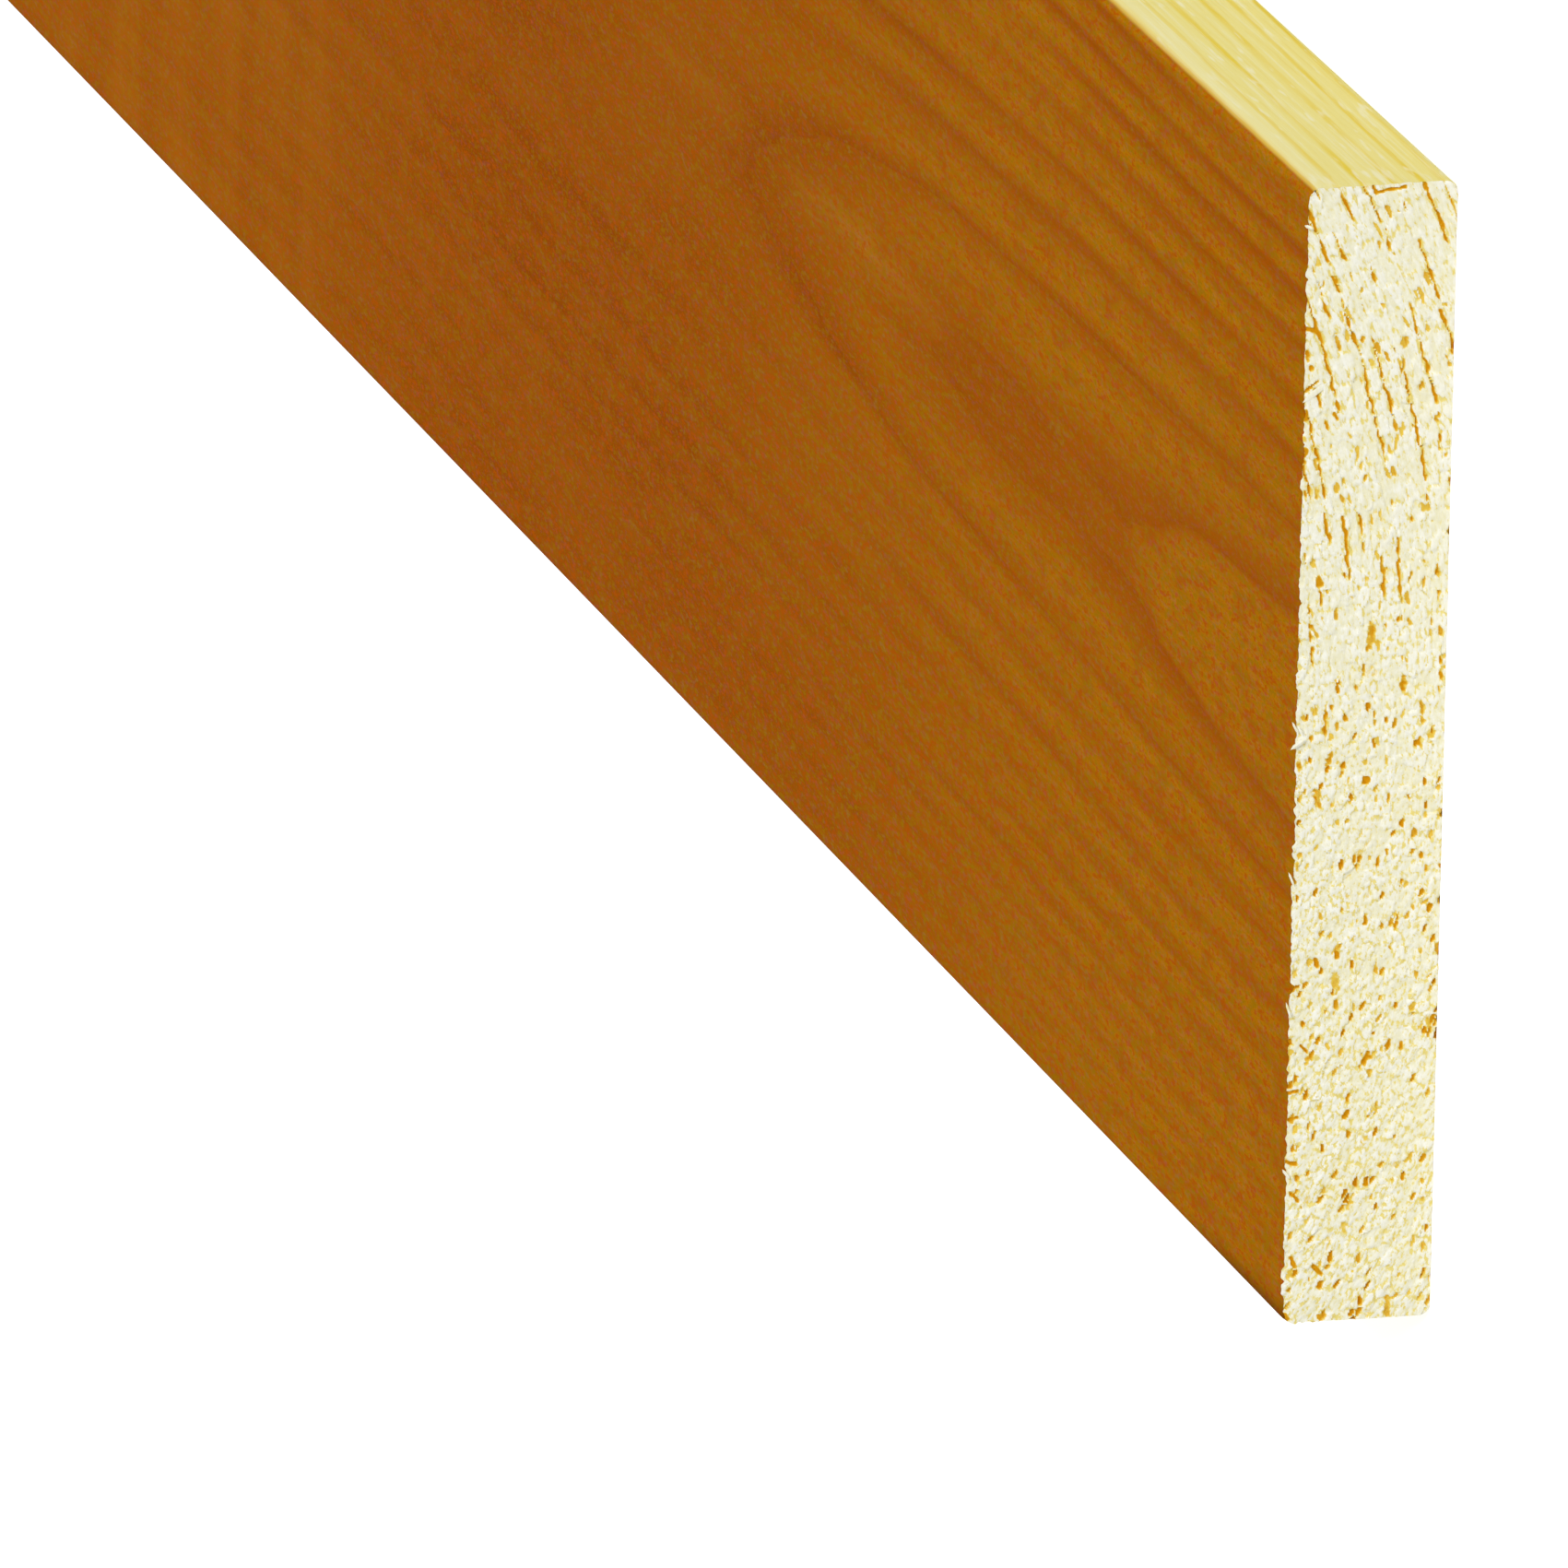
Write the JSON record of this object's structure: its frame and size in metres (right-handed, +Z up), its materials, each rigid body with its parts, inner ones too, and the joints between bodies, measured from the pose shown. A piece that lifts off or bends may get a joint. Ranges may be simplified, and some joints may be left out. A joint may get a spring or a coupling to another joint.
{
  "type": "planed board",
  "caption": "Long flat planed softwood board of plain rectangular section with eased long edges and square sawn ends, used for shelving, trim and cladding.",
  "frame": {"origin": "centre of the back wide face, which lies on the floor", "axes": "+X along the grain towards the end that the picture shows, +Y across the width towards the narrow edge that the picture shows, +Z up out of the wide face that the picture shows"},
  "size_m": [2, 0.145, 0.019],
  "materials": {
    "softwood": "planed faces in a brown tone, pale planed edges and pale rough-sawn end grain"
  },
  "bodies": {
    "root": {"board": "softwood"}
  },
  "joints": []
}
